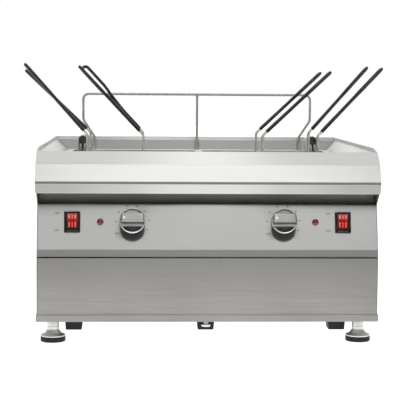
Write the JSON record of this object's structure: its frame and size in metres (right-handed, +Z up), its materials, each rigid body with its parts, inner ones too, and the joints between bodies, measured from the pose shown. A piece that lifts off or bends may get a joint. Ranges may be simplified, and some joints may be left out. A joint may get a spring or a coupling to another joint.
{
  "type": "deep fryer",
  "caption": "Countertop stainless deep fryer with side-by-side tanks, lift-out baskets on long handles, dial thermostats, rocker switches, a hanging rail and levelling feet.",
  "frame": {"origin": "on the floor under the centre of the body", "axes": "+X to the user's right, +Y from the user to the back, +Z up"},
  "size_m": [0.8112, 0.68, 0.5821],
  "materials": {
    "body_steel": "satin brushed stainless",
    "satin_steel": "dull rolled stainless",
    "surround_steel": "brushed stainless, lengthwise grain",
    "dark_recess": "dark",
    "tank_steel": "satin",
    "element_steel": "dark oxide",
    "thermostat_metal": "plain",
    "bright_metal": "bright",
    "rail_steel": "polished stainless",
    "basket_steel": "bright wire mesh",
    "grip_plastic": "dipped black plastic",
    "black_plastic": "moulded",
    "black_rubber": "matt",
    "red_lens": "translucent red"
  },
  "bodies": {
    "chassis": {"back_panel": "body_steel", "base_blocks": "black_rubber", "base_pan": "body_steel", "basket_grid_left": "tank_steel", "basket_grid_right": "tank_steel", "cable_gland": "black_plastic", "control_panel": "body_steel", "drain_pipe": "body_steel", "element_cover_left": "surround_steel", "element_cover_right": "surround_steel", "foot_sockets": "body_steel", "front_rail": "dark_recess", "heater_left": "element_steel", "heater_right": "element_steel", "lower_front_panel": "satin_steel", "panel_screws": "bright_metal", "pilot_lamp_left": "red_lens", "pilot_lamp_right": "red_lens", "rail_sockets": "rail_steel", "side_panel_left": "body_steel", "side_panel_right": "body_steel", "switch_housing_left": "black_plastic", "switch_housing_right": "black_plastic", "tank_left": "tank_steel", "tank_right": "tank_steel", "terminal_block": "black_plastic", "thermostat_left": "thermostat_metal", "thermostat_right": "thermostat_metal", "top_surround": "surround_steel"},
    "knob_left": {"knob_left": "bright_metal"},
    "rocker_left": {"switch_rocker_left": "red_lens"},
    "foot_front_left": {"foot_front_left": "bright_metal", "foot_pad_front_left": "black_rubber"},
    "basket_left_outer_front": {"basket_left_outer_front": "basket_steel", "grip_left_outer_front": "grip_plastic"},
    "basket_left_inner_front": {"basket_left_inner_front": "basket_steel", "grip_left_inner_front": "grip_plastic"},
    "foot_rear_left": {"foot_rear_left": "bright_metal", "foot_pad_rear_left": "black_rubber"},
    "basket_left_outer_rear": {"basket_left_outer_rear": "basket_steel", "grip_left_outer_rear": "grip_plastic"},
    "basket_left_inner_rear": {"basket_left_inner_rear": "basket_steel", "grip_left_inner_rear": "grip_plastic"},
    "knob_right": {"knob_right": "bright_metal"},
    "rocker_right": {"switch_rocker_right": "red_lens"},
    "foot_front_right": {"foot_front_right": "bright_metal", "foot_pad_front_right": "black_rubber"},
    "basket_right_outer_front": {"basket_right_outer_front": "basket_steel", "grip_right_outer_front": "grip_plastic"},
    "basket_right_inner_front": {"basket_right_inner_front": "basket_steel", "grip_right_inner_front": "grip_plastic"},
    "foot_rear_right": {"foot_rear_right": "bright_metal", "foot_pad_rear_right": "black_rubber"},
    "basket_right_outer_rear": {"basket_right_outer_rear": "basket_steel", "grip_right_outer_rear": "grip_plastic"},
    "basket_right_inner_rear": {"basket_right_inner_rear": "basket_steel", "grip_right_inner_rear": "grip_plastic"},
    "rail": {"basket_rail": "rail_steel"},
    "plug": {"drain_plug": "bright_metal"}
  },
  "joints": [
    {"name": "knob_left_turn", "type": "hinge", "parent": "chassis", "child": "knob_left", "pos_m": [-0.155, -0.30956, 0.25844], "axis": [0, 0.9694, -0.2453], "range_deg": [-40, 212]},
    {"name": "rocker_left_tip", "type": "hinge", "parent": "chassis", "child": "rocker_left", "pos_m": [-0.278, -0.29114, 0.25378], "axis": [-1, 0, 0], "range_deg": [0, 16]},
    {"name": "foot_front_left_height", "type": "slide", "parent": "chassis", "child": "foot_front_left", "axis": [0, 0, -1], "range_m": [0, 0.015]},
    {"name": "basket_left_outer_front_lift", "type": "slide", "parent": "chassis", "child": "basket_left_outer_front", "axis": [0, 0, 1], "range_m": [0, 0.25]},
    {"name": "basket_left_inner_front_lift", "type": "slide", "parent": "basket_left_outer_front", "child": "basket_left_inner_front", "axis": [0, 0, 1], "range_m": [0, 0.25]},
    {"name": "foot_rear_left_height", "type": "slide", "parent": "chassis", "child": "foot_rear_left", "axis": [0, 0, -1], "range_m": [0, 0.015]},
    {"name": "basket_left_outer_rear_lift", "type": "slide", "parent": "chassis", "child": "basket_left_outer_rear", "axis": [0, 0, 1], "range_m": [0, 0.25]},
    {"name": "basket_left_inner_rear_lift", "type": "slide", "parent": "basket_left_outer_rear", "child": "basket_left_inner_rear", "axis": [0, 0, 1], "range_m": [0, 0.25]},
    {"name": "knob_right_turn", "type": "hinge", "parent": "chassis", "child": "knob_right", "pos_m": [0.155, -0.30956, 0.25844], "axis": [0, 0.9694, -0.2453], "range_deg": [-40, 212]},
    {"name": "rocker_right_tip", "type": "hinge", "parent": "chassis", "child": "rocker_right", "pos_m": [0.278, -0.29114, 0.25378], "axis": [-1, 0, 0], "range_deg": [0, 16]},
    {"name": "foot_front_right_height", "type": "slide", "parent": "chassis", "child": "foot_front_right", "axis": [0, 0, -1], "range_m": [0, 0.015]},
    {"name": "basket_right_outer_front_lift", "type": "slide", "parent": "chassis", "child": "basket_right_outer_front", "axis": [0, 0, 1], "range_m": [0, 0.25]},
    {"name": "basket_right_inner_front_lift", "type": "slide", "parent": "basket_right_outer_front", "child": "basket_right_inner_front", "axis": [0, 0, 1], "range_m": [0, 0.25]},
    {"name": "foot_rear_right_height", "type": "slide", "parent": "chassis", "child": "foot_rear_right", "axis": [0, 0, -1], "range_m": [0, 0.015]},
    {"name": "basket_right_outer_rear_lift", "type": "slide", "parent": "chassis", "child": "basket_right_outer_rear", "axis": [0, 0, 1], "range_m": [0, 0.25]},
    {"name": "basket_right_inner_rear_lift", "type": "slide", "parent": "basket_right_outer_rear", "child": "basket_right_inner_rear", "axis": [0, 0, 1], "range_m": [0, 0.25]},
    {"name": "rail_lift", "type": "slide", "parent": "chassis", "child": "rail", "axis": [0, 0, 1], "range_m": [0, 0.04]},
    {"name": "plug_draw", "type": "slide", "parent": "chassis", "child": "plug", "axis": [0, 0, -1], "range_m": [0, 0.02]}
  ]
}
